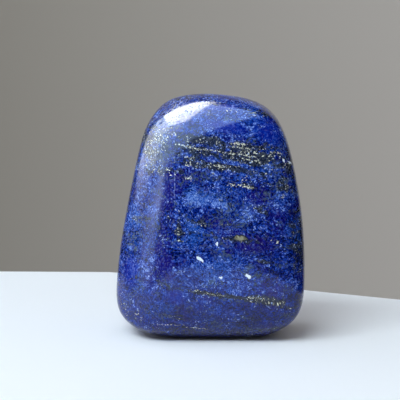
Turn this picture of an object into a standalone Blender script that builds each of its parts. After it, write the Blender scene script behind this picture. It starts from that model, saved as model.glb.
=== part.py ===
"""A polished piece of lapis lazuli, 60 mm tall: an upright tumbled block that stands on a small flat spot.

The stone was ground to a handful of nearly flat faces, then tumbled and polished until the faces
flow into each other. Front faces -Y, up is +Z, and the origin is under the middle of the stone.
"""

import math

import bmesh
import bpy
from mathutils import Vector, noise

MM = 0.001

# Driving sizes
BLANK_SIZE = Vector((47, 32, 60)) * MM
HEART_HEIGHT = 28 * MM
TUMBLING = 16
BLANK_CUTS = 27

# Each ground face: azimuth and tilt of its outward direction in degrees, where azimuth 0 is the front
# and 90 is +X and a positive tilt looks up, then its distance from the heart of the stone.
GROUND_FACES = {
    "front": (3, 6, 14.6 * MM),
    "front_left": (-44, 7.0, 17.7 * MM),
    "left": (-76, 13, 22.5 * MM),
    "left_rear": (-106, 12, 21.5 * MM),
    "back_left": (-138, 8, 18.8 * MM),
    "back": (176, 6, 14.4 * MM),
    "back_right": (130, 8, 20.5 * MM),
    "right": (92, 12.5, 23.2 * MM),
    "front_right": (44, 8.5, 22.4 * MM),
    "crown": (22, 81.5, 32.4 * MM),
    "brow_front": (-12, 42, 25.9 * MM),
    "brow_left": (-70, 54.5, 30.1 * MM),
    "brow_right": (84, 46.5, 31.5 * MM),
    "brow_back": (165, 44, 26.0 * MM),
    "belt_front": (0, -14, 19.6 * MM),
    "belt_left": (-90, 1, 24.0 * MM),
    "belt_right": (90, -1, 23.6 * MM),
    "belt_back": (180, -12, 18.8 * MM),
    "heel_front": (0, -56, 28.2 * MM),
    "heel_left": (-90, -57, 32.2 * MM),
    "heel_right": (90, -44.5, 31.0 * MM),
    "heel_back": (180, -56, 29.2 * MM),
    "base": (0, -90, 29.2 * MM),
}

# Slow unevenness of the polished skin
WAVE_LENGTH = 17 * MM
WAVE_DEPTH = 0.16 * MM

# Old chips that the tumbling softened: azimuth and tilt seen from the heart, radius, depth
CHIPS = {
    "notch": (-86, 64, 2.6 * MM, 0.4 * MM),
    "back_hollow": (170, 14, 9.0 * MM, 0.6 * MM),
    "right_hollow": (104, -14, 6.5 * MM, 0.5 * MM),
}

DEEP_BLUE = (0.020, 0.045, 0.260, 1)


def outward(azimuth, tilt):
    """The unit direction at this azimuth and tilt, in degrees."""
    turn, lift = math.radians(azimuth), math.radians(tilt)
    return Vector((math.sin(turn) * math.cos(lift), -math.cos(turn) * math.cos(lift), math.sin(lift)))


FACES = [(outward(azimuth, tilt), distance) for azimuth, tilt, distance in GROUND_FACES.values()]


def reach(direction):
    """How far the stone reaches from its heart: every ground face holds it back, softly near an edge."""
    hold = sum(max(0.0, direction.dot(face) / distance) ** TUMBLING for face, distance in FACES)
    return hold ** (-1 / TUMBLING)


CHIP_SPOTS = [
    (outward(azimuth, tilt) * reach(outward(azimuth, tilt)), radius, depth)
    for azimuth, tilt, radius, depth in CHIPS.values()
]


def skin_point(direction):
    """The point of the stone's surface along a direction from the heart, with its waves and chips."""
    point = direction * reach(direction)
    sunk = WAVE_DEPTH * noise.noise(point / WAVE_LENGTH)
    for spot, radius, depth in CHIP_SPOTS:
        nearness = max(0.0, 1 - (point - spot).length_squared / radius**2)
        sunk += depth * nearness**2
    return point - direction * sunk


def make_stone():
    """Shapes a subdivided blank into the stone, and cuts the flat spot that it stands on."""
    stone = bmesh.new()
    bmesh.ops.create_cube(stone, size=1)
    bmesh.ops.scale(stone, vec=BLANK_SIZE, verts=stone.verts)
    bmesh.ops.subdivide_edges(stone, edges=stone.edges, cuts=BLANK_CUTS, use_grid_fill=True)
    for vertex in stone.verts:
        vertex.co = skin_point(vertex.co.normalized())
    bmesh.ops.translate(stone, vec=(0, 0, HEART_HEIGHT), verts=stone.verts)
    cut = bmesh.ops.bisect_plane(
        stone,
        geom=stone.verts[:] + stone.edges[:] + stone.faces[:],
        dist=0.001 * MM,
        plane_co=(0, 0, 0),
        plane_no=(0, 0, 1),
        clear_inner=True,
    )
    for corner in [item for item in cut["geom_cut"] if isinstance(item, bmesh.types.BMVert)]:
        corner.co.z = 0
    rim = [item for item in cut["geom_cut"] if isinstance(item, bmesh.types.BMEdge)]
    bmesh.ops.contextual_create(stone, geom=rim)
    centre_over_origin(stone)
    bmesh.ops.recalc_face_normals(stone, faces=stone.faces)
    return stone


def centre_over_origin(stone):
    """Moves the stone sideways until the origin is under the middle of its outline."""
    xs = [vertex.co.x for vertex in stone.verts]
    ys = [vertex.co.y for vertex in stone.verts]
    middle = Vector((min(xs) + max(xs), min(ys) + max(ys), 0)) / 2
    bmesh.ops.translate(stone, vec=-middle, verts=stone.verts)


def polished_lapis():
    """Deep blue rock with a glassy polish."""
    material = bpy.data.materials.new("polished_lapis")
    material.use_nodes = True
    shader = material.node_tree.nodes["Principled BSDF"]
    shader.inputs["Base Color"].default_value = DEEP_BLUE
    shader.inputs["Roughness"].default_value = 0.12
    shader.inputs["Metallic"].default_value = 0
    material.diffuse_color = DEEP_BLUE
    return material


for old in list(bpy.data.objects):
    bpy.data.objects.remove(old)

specimen = bpy.data.collections.new("polished_lapis_lazuli")
bpy.context.scene.collection.children.link(specimen)

mesh = bpy.data.meshes.new("lapis_stone")
shaped = make_stone()
shaped.to_mesh(mesh)
shaped.free()
mesh.materials.append(polished_lapis())
mesh.shade_smooth()
mesh.set_sharp_from_angle(angle=math.radians(40))
specimen.objects.link(bpy.data.objects.new("lapis_stone", mesh))
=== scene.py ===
"""A polished piece of lapis lazuli, 60 mm tall, standing on a pale board in soft light from its left."""

import math

import bmesh
import bpy
from mathutils import Matrix, Quaternion, Vector, noise
from mathutils.bvhtree import BVHTree


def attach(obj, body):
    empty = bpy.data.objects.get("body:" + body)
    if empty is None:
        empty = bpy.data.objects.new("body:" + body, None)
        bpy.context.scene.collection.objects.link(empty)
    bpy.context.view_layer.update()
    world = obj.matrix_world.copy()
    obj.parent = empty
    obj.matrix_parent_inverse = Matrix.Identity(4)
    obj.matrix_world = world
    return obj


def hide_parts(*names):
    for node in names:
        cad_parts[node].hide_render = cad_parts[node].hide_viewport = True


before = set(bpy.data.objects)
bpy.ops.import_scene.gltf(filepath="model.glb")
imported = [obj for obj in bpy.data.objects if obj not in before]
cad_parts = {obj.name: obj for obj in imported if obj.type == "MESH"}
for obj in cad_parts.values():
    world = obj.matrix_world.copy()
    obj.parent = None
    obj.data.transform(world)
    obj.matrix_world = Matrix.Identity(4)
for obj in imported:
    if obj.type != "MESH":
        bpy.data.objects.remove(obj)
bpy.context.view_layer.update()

MM = 0.001


# The stone is one lump of lapis lazuli, ground by hand to some two dozen nearly flat faces and then
# tumbled and polished until the faces flow into each other. It stands on a small flat spot under it.

BLANK_SIZE = Vector((47, 32, 60)) * MM
HEART_HEIGHT = 28 * MM
TUMBLING = 16
BLANK_CUTS = 126
SHARPEST_SMOOTH_EDGE = math.radians(40)

# Each ground face: azimuth and tilt of its outward direction in degrees, where azimuth 0 is the front
# and 90 is +X and a positive tilt looks up, then its distance from the heart of the stone.
GROUND_FACES = {
    "front": (3, 6, 14.6 * MM),
    "front_left": (-44, 7.0, 17.7 * MM),
    "left": (-76, 13, 22.5 * MM),
    "left_rear": (-106, 12, 21.5 * MM),
    "back_left": (-138, 8, 18.8 * MM),
    "back": (176, 6, 14.4 * MM),
    "back_right": (130, 8, 20.5 * MM),
    "right": (92, 12.5, 23.2 * MM),
    "front_right": (44, 8.5, 22.4 * MM),
    "crown": (22, 81.5, 32.4 * MM),
    "brow_front": (-12, 42, 25.9 * MM),
    "brow_left": (-70, 54.5, 30.1 * MM),
    "brow_right": (84, 46.5, 31.5 * MM),
    "brow_back": (165, 44, 26.0 * MM),
    "belt_front": (0, -14, 19.6 * MM),
    "belt_left": (-90, 1, 24.0 * MM),
    "belt_right": (90, -1, 23.6 * MM),
    "belt_back": (180, -12, 18.8 * MM),
    "heel_front": (0, -56, 28.2 * MM),
    "heel_left": (-90, -57, 32.2 * MM),
    "heel_right": (90, -44.5, 31.0 * MM),
    "heel_back": (180, -56, 29.2 * MM),
    "base": (0, -90, 29.2 * MM),
}

# Slow unevenness of the polished skin
WAVE_LENGTH = 17 * MM
WAVE_DEPTH = 0.16 * MM

# Old chips that the tumbling softened: azimuth and tilt seen from the heart, radius, depth
CHIPS = {
    "notch": (-86, 64, 2.6 * MM, 0.4 * MM),
    "back_hollow": (170, 14, 9.0 * MM, 0.6 * MM),
    "right_hollow": (104, -14, 6.5 * MM, 0.5 * MM),
}

# Small nicks that only a close look shows, in the same way
NICKS = {
    "shoulder_pit": (-82, 52, 1.0 * MM, 0.25 * MM),
    "shoulder_crescent": (-66, 62, 1.2 * MM, 0.12 * MM),
    "right_heel_nick": (72, -47, 1.3 * MM, 0.25 * MM),
    "back_pit": (150, 30, 1.3 * MM, 0.22 * MM),
    "left_heel_nick": (-112, -44, 1.4 * MM, 0.28 * MM),
}


def outward(azimuth, tilt):
    """The unit direction at this azimuth and tilt, in degrees."""
    turn, lift = math.radians(azimuth), math.radians(tilt)
    return Vector((math.sin(turn) * math.cos(lift), -math.cos(turn) * math.cos(lift), math.sin(lift)))


FACES = [outward(azimuth, tilt) / distance for azimuth, tilt, distance in GROUND_FACES.values()]


def reach(direction):
    """How far the stone reaches from its heart: every ground face holds it back, softly near an edge."""
    hold = sum(max(0.0, direction.dot(face)) ** TUMBLING for face in FACES)
    return hold ** (-1 / TUMBLING)


CHIP_SPOTS = [
    (outward(azimuth, tilt) * reach(outward(azimuth, tilt)), radius, depth)
    for azimuth, tilt, radius, depth in list(CHIPS.values()) + list(NICKS.values())
]


def skin_point(direction):
    """The point of the stone's surface along a direction from the heart, with its waves and chips."""
    point = direction * reach(direction)
    sunk = WAVE_DEPTH * noise.noise(point / WAVE_LENGTH)
    for spot, radius, depth in CHIP_SPOTS:
        nearness = max(0.0, 1 - (point - spot).length_squared / radius**2)
        sunk += depth * nearness**2
    return point - direction * sunk


shaped = bmesh.new()
bmesh.ops.create_cube(shaped, size=1)
bmesh.ops.scale(shaped, vec=BLANK_SIZE, verts=shaped.verts)
bmesh.ops.subdivide_edges(shaped, edges=shaped.edges, cuts=BLANK_CUTS, use_grid_fill=True)
for vertex in shaped.verts:
    vertex.co = skin_point(vertex.co.normalized())
bmesh.ops.translate(shaped, vec=(0, 0, HEART_HEIGHT), verts=shaped.verts)
cut = bmesh.ops.bisect_plane(
    shaped,
    geom=shaped.verts[:] + shaped.edges[:] + shaped.faces[:],
    dist=0.001 * MM,
    plane_co=(0, 0, 0),
    plane_no=(0, 0, 1),
    clear_inner=True,
)
for corner in [item for item in cut["geom_cut"] if isinstance(item, bmesh.types.BMVert)]:
    corner.co.z = 0
rim = [item for item in cut["geom_cut"] if isinstance(item, bmesh.types.BMEdge)]
bmesh.ops.contextual_create(shaped, geom=rim)
xs = [vertex.co.x for vertex in shaped.verts]
ys = [vertex.co.y for vertex in shaped.verts]
middle = Vector((min(xs) + max(xs), min(ys) + max(ys), 0)) / 2
bmesh.ops.translate(shaped, vec=-middle, verts=shaped.verts)
bmesh.ops.recalc_face_normals(shaped, faces=shaped.faces)
front_skin = BVHTree.FromBMesh(shaped)

stone_mesh = bpy.data.meshes.new("lapis_lazuli_stone")
shaped.to_mesh(stone_mesh)
shaped.free()
stone_mesh.shade_smooth()
stone_mesh.set_sharp_from_angle(angle=SHARPEST_SMOOTH_EDGE)
stone = bpy.data.objects.new("lapis_lazuli_stone", stone_mesh)
bpy.context.scene.collection.objects.link(stone)


# The rock is lazurite, a mosaic of blue grains 0.2 to 1 mm across, sown with pale calcite, dark seams
# that dip to the right, and grains of brassy pyrite. All of it is one polished surface.


class Shade:
    """One socket of a material, so that arithmetic on it in Python adds the Math nodes."""

    def __init__(self, tree, socket=None):
        self.tree = tree
        self.socket = socket

    def node(self, kind, settings=None, sockets=None, output=0):
        """A new node: its settings are set first, then its sockets get their values or links."""
        made = self.tree.nodes.new(kind)
        for name, value in (settings or {}).items():
            if name == "stops":
                ramp = made.color_ramp.elements
                for count, (position, shade) in enumerate(value):
                    stop = ramp[count] if count < len(ramp) else ramp.new(position)
                    stop.position = position
                    stop.color = shade
            else:
                setattr(made, name, value)
        for name, value in (sockets or {}).items():
            if isinstance(value, Shade):
                self.tree.links.new(value.socket, made.inputs[name])
            else:
                made.inputs[name].default_value = value
        return Shade(self.tree, made.outputs[output])

    def other(self, output):
        """Another output of the node that this socket belongs to."""
        return Shade(self.tree, self.socket.node.outputs[output])

    def math(self, operation, first, second=0.0):
        return self.node("ShaderNodeMath", {"operation": operation}, {0: first, 1: second})

    def __add__(self, value):
        return self.math("ADD", self, value)

    __radd__ = __add__

    def __mul__(self, value):
        return self.math("MULTIPLY", self, value)

    __rmul__ = __mul__

    def __sub__(self, value):
        return self.math("SUBTRACT", self, value)

    def __rsub__(self, value):
        return self.math("SUBTRACT", value, self)


lazurite = bpy.data.materials.new("lapis_lazuli")
lazurite.use_nodes = True
rock = Shade(lazurite.node_tree)
polish = lazurite.node_tree.nodes["Principled BSDF"]


def colour(red, green, blue):
    """A colour socket's value."""
    return (red, green, blue, 1)


def blend(factor, first, second):
    """The first colour where the factor is 0, the second where it is 1."""
    return rock.node("ShaderNodeMix", {"data_type": "RGBA"}, {0: factor, 6: first, 7: second}, output=2)


def moved(place, by):
    """The place moved by an amount, which may itself vary over the stone."""
    return rock.node("ShaderNodeVectorMath", {"operation": "ADD"}, {0: place, 1: by})


def scaled(place, scale):
    """The place with its distances from the origin made larger or smaller."""
    return rock.node("ShaderNodeVectorMath", {"operation": "SCALE"}, {0: place, "Scale": scale})


def lumps(place, size, detail=2.0, roughness=0.5):
    """Cloudy noise from 0 to 1 whose lumps are about this size in millimetres."""
    sockets = {"Vector": place, "Scale": 1 / size, "Detail": detail, "Roughness": roughness}
    return rock.node("ShaderNodeTexNoise", {}, sockets)


def rises(value, start, end):
    """0 at the start, 1 at the end, and smooth between them."""
    sockets = {"Value": value, "From Min": start, "From Max": end, "To Min": 0.0, "To Max": 1.0}
    return rock.node("ShaderNodeMapRange", {"interpolation_type": "SMOOTHSTEP"}, sockets)


def grains(place, size):
    """A mosaic of grains of this size in millimetres: three chance numbers for each grain."""
    cells = rock.node("ShaderNodeTexVoronoi", {}, {"Vector": place, "Scale": 1 / size}, output="Color")
    split = rock.node("ShaderNodeSeparateColor", {}, {0: cells})
    return split, split.other(1), split.other(2)


def leaning(place, lean):
    """The place seen from axes that lean down to the right by this many degrees."""
    turned = {"Vector": place, "Rotation": (0, math.radians(lean), 0)}
    return rock.node("ShaderNodeMapping", {"vector_type": "TEXTURE"}, turned)


# In millimetres, where a ray toward the front skin starts, and the least half depth of a lens
IN_FRONT = -30
SHALLOWEST_LENS = 1.5

# Farther than the edge of any lens, whose edge is at 1
FAR_AWAY = 9.0


def patches(place, spots):
    """How near the place is to any of these lenses in the rock: 0 in a heart, 1 at an edge.

    Each lens is where it comes to the front skin, x and z, then its half length and half height in
    millimetres, and its lean in degrees, down to the right.
    """
    leans = {lean: leaning(place, lean) for lean in sorted({spot[4] for spot in spots})}
    nearest = FAR_AWAY
    for x, z, half_length, half_height, lean in spots:
        skin = front_skin.ray_cast(Vector((x, IN_FRONT, z)) * MM, Vector((0, 1, 0)))[0] / MM
        heart = Matrix.Rotation(-math.radians(lean), 3, "Y") @ skin
        shrink = Vector((1 / half_length, 1 / max(half_height, SHALLOWEST_LENS), 1 / half_height))
        lens = rock.node(
            "ShaderNodeVectorMath",
            {"operation": "MULTIPLY_ADD"},
            {0: leans[lean], 1: shrink, 2: -heart * shrink},
        )
        away = rock.node("ShaderNodeVectorMath", {"operation": "LENGTH"}, {0: lens}, output="Value")
        nearest = rock.math("MINIMUM", away, nearest)
    return nearest


# The rock was folded and crushed, so its pattern wanders, slowly over 7 mm and quickly over 0.9 mm
coordinates = rock.node("ShaderNodeTexCoord", output="Object")
millimetres = scaled(coordinates, 1000.0)
slow_wander = moved(lumps(millimetres, 7, 2).other("Color"), (-0.5, -0.5, -0.5))
quick_wander = moved(lumps(millimetres, 0.9, 2).other("Color"), (-0.5, -0.5, -0.5))
ragged = moved(millimetres, scaled(quick_wander, 1.1))
place = moved(moved(millimetres, scaled(slow_wander, 4.0)), scaled(quick_wander, 0.6))

# The layers lie across the stone, dip to the right by these degrees, and are drawn out along themselves
LAYER_DIP = 9
layers = rock.node(
    "ShaderNodeMapping",
    {"vector_type": "TEXTURE"},
    {"Vector": place, "Rotation": (0, math.radians(LAYER_DIP), 0), "Scale": (2.4, 2.0, 1)},
)
tone = lumps(moved(layers, (3, 11, 5)), 4.2, 2, 0.55)
cloud = lumps(moved(layers, (31, 7, 13)), 2.0, 3, 0.6)
streak = lumps(moved(layers, (12, 44, 27)), 1.1, 3, 0.65)
violet = lumps(moved(place, (5, 23, 9)), 5.5, 2)
azure = lumps(moved(place, (51, 2, 33)), 6.5, 2)
green = lumps(moved(layers, (17, 3, 41)), 2.4, 2)
height = rock.node("ShaderNodeSeparateXYZ", {}, {0: place}, output="Z")

# Three sizes of grain, in millimetres
COARSE_GRAIN = 0.85
MIDDLING_GRAIN = 0.42
FINE_GRAIN = 0.24

coarse, _, coarse_pick = grains(place, COARSE_GRAIN)
middling, middling_hue, middling_pick = grains(moved(place, (40, 3, 8)), MIDDLING_GRAIN)
fine, fine_hue, fine_pick = grains(moved(place, (9, 50, 27)), FINE_GRAIN)

# Dark seams run through the whole stone: level at its middle, half thickness, and how plain each is
SEAMS = [
    (56.0, 0.7, 0.35),
    (49.3, 1.5, 0.75),
    (46.6, 1.8, 1.00),
    (43.6, 1.2, 0.80),
    (40.6, 0.9, 0.65),
    (35.5, 0.8, 0.30),
    (27.0, 1.2, 0.45),
    (12.9, 0.7, 0.60),
    (5.4, 0.9, 0.50),
]
level = rock.node("ShaderNodeSeparateXYZ", {}, {0: leaning(place, LAYER_DIP)}, output="Z")
banded = 0.0
for middle_level, half_thickness, plainness in SEAMS:
    away = rock.math("ABSOLUTE", level - middle_level)
    inside = 1 - rises(away, half_thickness * 0.3, half_thickness * 1.5)
    banded = rock.math("MAXIMUM", inside * plainness, banded)

# Places that show on the front: lighter clouds, darker seams, rock of other blues, grey-green rock,
# solid shale, a right side that is partly darker rock and partly painted shade where it turns from the
# light, and a grey part with little lazurite by the left shoulder
CLOUDS = [
    (-3.4, 36.0, 3.2, 1.9, 8),
    (2.3, 34.8, 2.6, 1.4, 8),
    (9.8, 33.0, 3.4, 2.2, 14),
    (3.0, 21.5, 2.4, 1.8, 26),
    (-17.5, 36.0, 1.6, 2.0, 0),
    (-16.0, 43.5, 3.0, 4.0, 0),
]
DARK_SEAMS = [
    (-2.5, 50.2, 6.5, 1.2, 8),
    (9.5, 46.8, 5.0, 2.4, 14),
    (19.5, 43.2, 3.0, 1.0, 26),
    (0.5, 44.0, 7.5, 1.3, 8),
    (17.5, 39.0, 3.0, 1.2, 26),
    (-7.6, 28.0, 1.0, 5.0, 0),
    (13.0, 11.3, 5.5, 1.2, 8),
    (-3.0, 13.4, 4.0, 0.6, 8),
    # This tall lens down the right side is partly dark rock and partly painted shade where it turns from
    # the light
    (21.5, 26.0, 2.6, 11.0, 0),
    (9.0, 39.2, 2.6, 0.8, 14),
    (7.3, 26.2, 3.0, 0.9, 8),
    (-13.0, 50.0, 3.5, 1.0, 14),
    (-15.5, 46.2, 3.0, 1.0, 14),
    (-15.5, 41.8, 4.0, 0.9, 14),
    (-15.0, 30.5, 2.5, 0.7, 14),
    (-10.5, 31.5, 2.5, 0.6, 14),
    (-16.0, 20.5, 3.0, 0.6, 14),
    (-3.0, 30.5, 3.5, 0.7, 14),
    (3.5, 30.0, 3.0, 0.6, 8),
    (12.5, 33.0, 3.0, 0.7, 26),
    (13.5, 20.5, 3.0, 0.6, 8),
    (-9.0, 7.5, 4.0, 0.5, 0),
    (12.0, 56.5, 4.5, 0.7, 14),
    (1.0, 58.5, 4.0, 0.6, 8),
]
VIOLET_ZONE = [
    (-10.8, 36.0, 2.3, 12.0, 0),
    (-11.5, 22.0, 2.4, 7.0, 0),
    (11.0, 25.0, 4.5, 3.0, 14),
    (12.5, 37.0, 3.5, 3.0, 14),
    (-7.5, 40.0, 2.6, 3.0, 0),
]
VIVID = [
    (14.5, 52.0, 4.5, 3.5, 14),
    (-8.0, 12.2, 2.3, 1.9, 0),
    (4.0, 53.2, 6.0, 1.6, 8),
    (2.0, 57.6, 7.0, 1.2, 8),
    (-19.5, 17.0, 2.5, 4.0, 0),
]
AZURE_ZONE = [
    (-0.5, 18.5, 6.0, 4.0, 8),
    (-4.5, 28.0, 3.5, 4.0, 0),
    (-1.0, 36.0, 6.0, 2.5, 8),
    (-19.0, 28.0, 2.5, 7.0, 0),
]
OLIVE_ZONE = [
    (5.5, 31.0, 4.5, 4.0, 14),
    (3.5, 23.5, 3.5, 2.4, 26),
    (-2.5, 41.5, 4.5, 2.0, 8),
    (15.0, 36.5, 4.0, 5.5, 26),
    (-19.0, 24.0, 2.5, 6.0, 0),
    (9.5, 18.5, 3.0, 2.0, 14),
]
SOLID_SHALE = [
    (12.5, 11.5, 5.0, 1.0, 8),
    (3.5, 12.5, 6.0, 0.6, 8),
    (-2.5, 50.3, 5.0, 0.9, 8),
    (8.7, 45.4, 4.0, 1.3, 14),
]
# Partly darker rock and partly painted shade: the right side, which turns from the light, is darkened
DUSKY_AND_SHADED_SIDE = [
    (18.0, 22.0, 9.0, 13.0, 0),
    (14.0, 7.0, 8.0, 4.5, 0),
]
ASHEN_ZONE = [
    (-12.0, 50.5, 4.8, 2.6, 14),
    (-14.0, 46.0, 5.0, 3.4, 14),
]

clouded = 1 - rises(patches(ragged, CLOUDS), 0.35, 1.25)
seamed = 1 - rises(patches(ragged, DARK_SEAMS), 0.40, 1.30)
purpled = 1 - rises(patches(ragged, VIOLET_ZONE), 0.5, 1.3)
pure = 1 - rises(patches(ragged, VIVID), 0.5, 1.2)
azured = 1 - rises(patches(ragged, AZURE_ZONE), 0.4, 1.3)
olived = 1 - rises(patches(ragged, OLIVE_ZONE), 0.3, 1.3)
shaly = 1 - rises(patches(ragged, SOLID_SHALE), 0.5, 1.3)
dusky_and_shaded = 1 - rises(patches(ragged, DUSKY_AND_SHADED_SIDE), 0.3, 1.3)

# Toward its foot the rock is more even, and by its sole it is darkened with painted shade where it stands
# on the board, between these heights in millimetres
EVEN_FROM = 16.0
EVEN_BELOW = 8.0
SOLE_SHADE_FROM = 4.5
SOLE_SHADE_FULL_BELOW = 0.5

foot = rises(height, EVEN_FROM, EVEN_BELOW)
brightness = coarse * 0.18 + middling * 0.34 + fine * 0.46 - 0.50
brightness = brightness + (tone - 0.5) * 0.50 + (cloud - 0.5) * 0.55
brightness = brightness + clouded * 0.14 + azured * 0.05 - seamed * 0.06 - purpled * 0.12 - dusky_and_shaded * 0.09
# Painted shade: the lowest few millimetres are darkened as by the shadow where the stone meets the board
sole_shade = rises(height, SOLE_SHADE_FROM, SOLE_SHADE_FULL_BELOW)
brightness = brightness * (1 - foot * 0.30) + (0.5 - foot * 0.09) - sole_shade * 0.18

# Colours of the blue grains, from the dark ones to the pale ones, and of pure and clouded lazurite
MOSAIC = [
    (0.20, colour(0.000, 0.002, 0.035)),
    (0.36, colour(0.000, 0.006, 0.105)),
    (0.50, colour(0.002, 0.018, 0.205)),
    (0.62, colour(0.010, 0.046, 0.310)),
    (0.74, colour(0.048, 0.112, 0.440)),
    (0.92, colour(0.220, 0.330, 0.700)),
]
PURE_BLUE = colour(0.002, 0.013, 0.270)
CLOUDED_BLUE = colour(0.060, 0.130, 0.420)

blue = rock.node("ShaderNodeValToRGB", {"stops": MOSAIC}, {0: brightness})
blue = blend(pure * 0.60, blue, PURE_BLUE)
blue = blend(clouded * 0.20, blue, CLOUDED_BLUE)

# Sky-blue, violet and grey-green parts among the blue
SKY_BLUE = colour(0.008, 0.085, 0.380)
DEEP_VIOLET = colour(0.011, 0.003, 0.135)
GREY_GREEN = colour(0.050, 0.075, 0.080)

clear_sky = rises(azure + azured * 0.25 + (middling_hue - 0.5) * 0.20, 0.52, 0.80)
clear_sky = clear_sky * rises(brightness, 0.25, 0.60)
blue = blend(clear_sky * 0.42, blue, SKY_BLUE)
purple = rises(violet + purpled * 0.25 + (middling_hue - 0.5) * 0.30 - azured * 0.1, 0.52, 0.78)
blue = blend(purple * 0.60, blue, DEEP_VIOLET)
olive = rises(middling_pick * 0.6 + green + olived * 0.20 + banded * 0.15 - pure * 0.4, 1.02, 1.20)
blue = blend(olive * 0.65, blue, GREY_GREEN)

# The seams break up into strands of dark shale
DARKEST_SHALE = colour(0.002, 0.004, 0.012)
PALEST_SHALE = colour(0.026, 0.034, 0.054)

strands = banded * 0.42 + seamed * 0.38 + shaly * 0.45
strands = strands + (streak - 0.5) * 1.9 + (coarse_pick - 0.5) * 0.30
slate = rises(strands, 0.24, 0.52)
shale = blend(fine, DARKEST_SHALE, PALEST_SHALE)
blue = blend(slate * 0.92, blue, shale)

# Grey grains where there is little lazurite, then pale grains of calcite
ASH_GREY = colour(0.085, 0.098, 0.115)
PALE_CALCITE = colour(0.34, 0.46, 0.80)

ashen = 1 - rises(patches(ragged, ASHEN_ZONE), 0.4, 1.3)
blue = blend(ashen * rises(middling_hue, 0.20, 0.50) * 0.88, blue, ASH_GREY)
pale = rises(fine_pick + (cloud - 0.5) * 0.35 + clouded * 0.06 + slate * 0.02 + ashen * 0.12, 0.985, 1.02)
blue = blend(pale * 0.75, blue, PALE_CALCITE)

# Brassy pyrite: loose clusters, then thin strings of touching grains
PYRITE_CLUSTERS = [
    (7.0, 48.8, 1.6, 0.7, 8),
    (9.8, 47.2, 3.4, 0.8, 8),
    (14.6, 46.4, 2.6, 0.7, 14),
    (-14.2, 45.4, 2.2, 1.6, 26),
    (-12.4, 42.2, 2.6, 0.9, 26),
    (-9.5, 42.2, 1.3, 0.8, 0),
    (-5.0, 41.0, 1.3, 0.6, 14),
    (4.0, 43.2, 2.4, 0.9, 14),
    (8.5, 40.6, 1.2, 1.0, 0),
    (-7.8, 33.2, 0.9, 0.6, 0),
    (-8.0, 28.6, 0.9, 0.9, 0),
    (-7.5, 25.8, 0.9, 0.8, 0),
    (5.2, 56.9, 1.9, 0.5, 8),
    (11.0, 56.0, 2.4, 0.5, 14),
    (14.0, 10.9, 4.6, 0.9, 8),
    (-17.6, 6.2, 1.5, 1.0, 0),
    (-20.8, 7.0, 1.0, 1.2, 0),
    (18.8, 43.8, 1.2, 0.6, 14),
]
PYRITE_STRINGS = [
    (-6.6, 48.9, 2.0, 0.16, 8),
    (-2.9, 48.0, 2.2, 0.16, 8),
    (0.9, 47.6, 2.0, 0.15, 8),
    (4.2, 47.0, 2.0, 0.16, 8),
    (8.4, 46.4, 2.3, 0.14, 8),
    (12.0, 44.7, 2.8, 0.15, 14),
    (7.0, 49.2, 1.2, 0.20, 8),
    (6.7, 48.3, 1.1, 0.18, 8),
    (-5.1, 46.0, 0.8, 0.20, 0),
    (-5.1, 44.1, 0.8, 0.18, 0),
    (-5.3, 41.0, 0.7, 0.25, 14),
    (1.8, 44.0, 0.7, 0.22, 0),
    (0.8, 42.1, 0.4, 0.25, 0),
    (5.5, 39.3, 0.9, 0.28, 8),
    (8.9, 38.8, 1.5, 0.30, 8),
    (17.7, 36.4, 0.4, 0.4, 0),
    (19.0, 38.6, 0.5, 0.3, 26),
    (15.9, 46.9, 1.3, 0.20, 8),
    (16.3, 25.4, 0.35, 0.30, 0),
    (-10.0, 4.9, 3.0, 0.10, 0),
    (-3.0, 3.9, 2.4, 0.08, 8),
    (1.0, 12.8, 2.0, 0.10, 8),
]
DARK_BRASS = colour(0.08, 0.08, 0.045)
BRIGHT_BRASS = colour(0.86, 0.84, 0.66)

beaded = moved(millimetres, scaled(quick_wander, 0.8))
strung = 1 - rises(patches(beaded, PYRITE_STRINGS), 0.8, 1.8)
clustered = 1 - rises(patches(ragged, PYRITE_CLUSTERS), 0.5, 1.4)
specks = rises(lumps(moved(layers, (60, 9, 2)), 2.6, 2), 0.60, 0.80)
glint = strung * 0.46 + clustered * 0.11 + slate * 0.045 + specks * 0.07 + ashen * 0.07 + banded * 0.02
pyrite = rises(fine_hue + glint, 1.005, 1.03)
brass = blend(fine, DARK_BRASS, BRIGHT_BRASS)
blue = blend(pyrite, blue, brass)

# One larger tan grain in a dark rim
TAN_GRAIN = [(7.2, 26.5, 1.5, 0.55, 8)]
RIM_BLACK = colour(0.008, 0.011, 0.020)
DARK_HORN = colour(0.090, 0.080, 0.045)
PALE_HORN = colour(0.300, 0.300, 0.210)

tan = patches(beaded, TAN_GRAIN)
blue = blend((1 - rises(tan, 1.0, 1.8)) * 0.8, blue, RIM_BLACK)
horn = blend(middling, DARK_HORN, PALE_HORN)
blue = blend(1 - rises(tan, 0.8, 1.1), blue, horn)

# White calcite flecks that the polish cut open, and a hairline crack
WHITE_FLECKS = [
    (-2.5, 21.5, 1.15, 0.38, 38),
    (2.6, 17.1, 0.45, 0.35, 0),
    (9.2, 17.2, 0.75, 0.50, 38),
    (1.6, 25.3, 0.25, 0.50, 0),
    (19.4, 44.2, 0.8, 0.16, 38),
    (17.7, 45.0, 0.35, 0.5, 0),
]
HAIRLINE_CRACK = [(-8.7, 40.5, 0.09, 5.5, 0)]
CALCITE_WHITE = colour(0.74, 0.82, 0.92)
CRACK_BLUE = colour(0.30, 0.36, 0.60)

white = 1 - rises(patches(ragged, WHITE_FLECKS), 0.75, 1.15)
blue = blend(white, blue, CALCITE_WHITE)
crack = 1 - rises(patches(ragged, HAIRLINE_CRACK), 0.7, 1.6)
blue = blend(crack * rises(coarse, 0.2, 0.7) * 0.5, blue, CRACK_BLUE)

# The polish is not quite even: height in millimetres
GRIT_HEIGHT = 0.0035
SWELL_HEIGHT = 0.010

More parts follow.
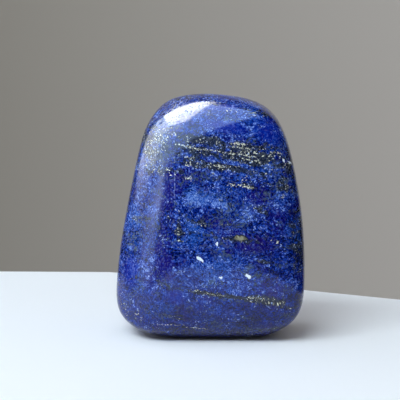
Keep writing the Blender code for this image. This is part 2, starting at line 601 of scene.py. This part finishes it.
grit = lumps(millimetres, 0.35, 1)
swell = lumps(millimetres, 2.2, 1)
relief = grit * GRIT_HEIGHT + swell * SWELL_HEIGHT
bumps = {"Strength": 1.0, "Distance": MM, "Height": relief}
skin_relief = rock.node("ShaderNodeBump", {}, bumps, output="Normal")

# Softer minerals take less polish
dull = rises(lumps(moved(place, (8, 70, 4)), 0.5, 2), 0.54, 0.64)
roughness = 0.10 + pyrite * 0.20 + white * 0.25 + slate * 0.06 + olive * 0.12 + dull * 0.45
rock.tree.links.new(blue.socket, polish.inputs["Base Color"])
rock.tree.links.new(roughness.socket, polish.inputs["Roughness"])
rock.tree.links.new((pyrite * 0.3).socket, polish.inputs["Metallic"])
rock.tree.links.new(skin_relief.socket, polish.inputs["Normal"])

stone_mesh.materials.append(lazurite)
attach(stone, "root")
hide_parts("lapis_stone")


# The floor is a pale painted board whose far edge runs off to the right.

BOARD_OUTLINE = [(-300, 92), (-30, 84), (-18, 80), (60, 38), (300, -90), (300, -500), (-300, -500)]
BOARD_THICKNESS = 18 * MM
BOARD_PAINT = colour(0.86, 0.86, 0.86)

slab = bmesh.new()
corners = [slab.verts.new((x * MM, y * MM, 0)) for x, y in BOARD_OUTLINE]
top = slab.faces.new(corners)
lower = bmesh.ops.extrude_face_region(slab, geom=[top])
sunk = [item for item in lower["geom"] if isinstance(item, bmesh.types.BMVert)]
bmesh.ops.translate(slab, vec=(0, 0, -BOARD_THICKNESS), verts=sunk)
bmesh.ops.recalc_face_normals(slab, faces=slab.faces)
board_mesh = bpy.data.meshes.new("floor_board")
slab.to_mesh(board_mesh)
slab.free()
board = bpy.data.objects.new("floor_board", board_mesh)
bpy.context.scene.collection.objects.link(board)
paint = bpy.data.materials.new("pale_paint")
paint.use_nodes = True
coat = paint.node_tree.nodes["Principled BSDF"]
coat.inputs["Base Color"].default_value = BOARD_PAINT
coat.inputs["Roughness"].default_value = 0.8
coat.inputs["Specular IOR Level"].default_value = 0.1
board_mesh.materials.append(paint)


# The backdrop is a plain grey-beige sheet well behind the board, with painted light that makes it lighter
# toward the right.

BACKDROP_REACH = 450 * MM
BACKDROP_MIDDLE = Vector((0, 600, 100)) * MM
BACKDROP_SHADED = colour(0.36, 0.32, 0.27)
BACKDROP_LIT = colour(0.62, 0.56, 0.50)

# How much lighter the painted light makes it for each metre to the right and each metre up
LIGHTER_RIGHTWARD = 3.6
LIGHTER_UPWARD = -0.6

sheet = bmesh.new()
bmesh.ops.create_grid(sheet, x_segments=1, y_segments=1, size=BACKDROP_REACH)
bmesh.ops.rotate(sheet, verts=sheet.verts, matrix=Matrix.Rotation(math.pi / 2, 3, "X"))
bmesh.ops.translate(sheet, vec=BACKDROP_MIDDLE, verts=sheet.verts)
sheet_mesh = bpy.data.meshes.new("backdrop")
sheet.to_mesh(sheet_mesh)
sheet.free()
backdrop = bpy.data.objects.new("backdrop", sheet_mesh)
bpy.context.scene.collection.objects.link(backdrop)
paper = bpy.data.materials.new("plain_paper")
paper.use_nodes = True
sheet_paint = Shade(paper.node_tree)
spot = sheet_paint.node("ShaderNodeTexCoord", output="Object")
across = sheet_paint.node("ShaderNodeSeparateXYZ", {}, {0: spot})
# Painted light: the sheet is graded between its shaded and its lit colour
lit = across * LIGHTER_RIGHTWARD + across.other("Z") * LIGHTER_UPWARD + 0.5
graded = {0: lit, 6: BACKDROP_SHADED, 7: BACKDROP_LIT}
tint = sheet_paint.node("ShaderNodeMix", {"data_type": "RGBA"}, graded, output=2)
matt = paper.node_tree.nodes["Principled BSDF"]
paper.node_tree.links.new(tint.socket, matt.inputs["Base Color"])
matt.inputs["Roughness"].default_value = 1.0
matt.inputs["Specular IOR Level"].default_value = 0.0
sheet_mesh.materials.append(paper)


# The light is soft and comes mostly from the left, brightest behind the left shoulder of the stone.

LIGHT_CENTRE = Vector((0, 0, 32)) * MM
NEUTRAL = (1.0, 1.0, 1.0)
WARM_WHITE = (1.0, 0.97, 0.94)

# Each panel: azimuth and tilt of its place as for a ground face, roll in degrees, then its distance,
# width and height in metres, its radiance, and its colour. First those that only the polish mirrors.
MIRRORED_PANELS = {
    "broad_panel": (-68.8, 54.9, 24.7, 1.0, 2.14, 1.91, 5.2, (0.47, 0.66, 1.0)),
    "side_panel": (-107, 24.8, 0, 1.0, 0.58, 0.79, 4.7, (0.94, 0.97, 1.0)),
    "low_panel": (-88.3, 1.0, 0, 1.0, 0.07, 0.14, 2.2, (0.80, 0.88, 1.0)),
    "bright_panel": (-130, 57.6, -68.1, 1.0, 0.48, 0.72, 13.5, (1.0, 1.0, 0.96)),
    "upper_panel": (-88, 48, 0, 1.0, 0.76, 0.62, 1.7, NEUTRAL),
}

# Those that only light the rock and the board
LIGHTING_PANELS = {
    "key": (-34, 45, 0, 1.0, 0.8, 0.4, 11.2, (0.78, 0.90, 1.0)),
    "side_fill": (-95, 40, 0, 1.0, 1.0, 1.0, 0.6, (0.80, 0.90, 1.0)),
    "room_fill": (60, 60, 0, 1.2, 1.2, 1.2, 0.4, WARM_WHITE),
}


def hang_panel(name, azimuth, tilt, roll, distance, width, height, radiance, tint):
    """A flat soft light that faces the stone."""
    lamp = bpy.data.lights.new(name, "AREA")
    lamp.shape = "RECTANGLE"
    lamp.size = width
    lamp.size_y = height
    lamp.energy = radiance * math.pi * width * height
    lamp.color = tint
    hung = bpy.data.objects.new(name, lamp)
    bpy.context.scene.collection.objects.link(hung)
    towards = outward(azimuth, tilt)
    hung.location = LIGHT_CENTRE + towards * distance
    facing = towards.to_track_quat("Z", "Y") @ Quaternion((0, 0, 1), math.radians(roll))
    hung.rotation_euler = facing.to_euler()
    hung.visible_camera = False
    return hung


for name, placing in MIRRORED_PANELS.items():
    hang_panel(name, *placing).visible_diffuse = False
for name, placing in LIGHTING_PANELS.items():
    hang_panel(name, *placing).visible_glossy = False

AROUND = colour(0.20, 0.20, 0.21)

world = bpy.data.worlds.new("room")
world.use_nodes = True
world.node_tree.nodes["Background"].inputs["Color"].default_value = AROUND
world.node_tree.nodes["Background"].inputs["Strength"].default_value = 1.0
world.cycles_visibility.glossy = False
bpy.context.scene.world = world
bpy.context.scene.view_settings.view_transform = "Standard"


# The camera looks slightly down on the stone from the front.

CAMERA_TILT = math.radians(8)
CAMERA_DISTANCE = 420 * MM
CAMERA_AIM = Vector((-2.5, 0, 33.8)) * MM

# Focal length and sensor in millimetres, and the farthest that it sees in metres
FOCAL_LENGTH = 151.2
SENSOR_WIDTH = 36
FARTHEST_SEEN = 10

lens = bpy.data.cameras.new("camera")
lens.lens = FOCAL_LENGTH
lens.sensor_width = SENSOR_WIDTH
lens.clip_end = FARTHEST_SEEN
camera = bpy.data.objects.new("camera", lens)
bpy.context.scene.collection.objects.link(camera)
camera.location = CAMERA_AIM + Vector((0, -math.cos(CAMERA_TILT), math.sin(CAMERA_TILT))) * CAMERA_DISTANCE
camera.rotation_euler = (math.pi / 2 - CAMERA_TILT, 0, 0)
bpy.context.scene.camera = camera
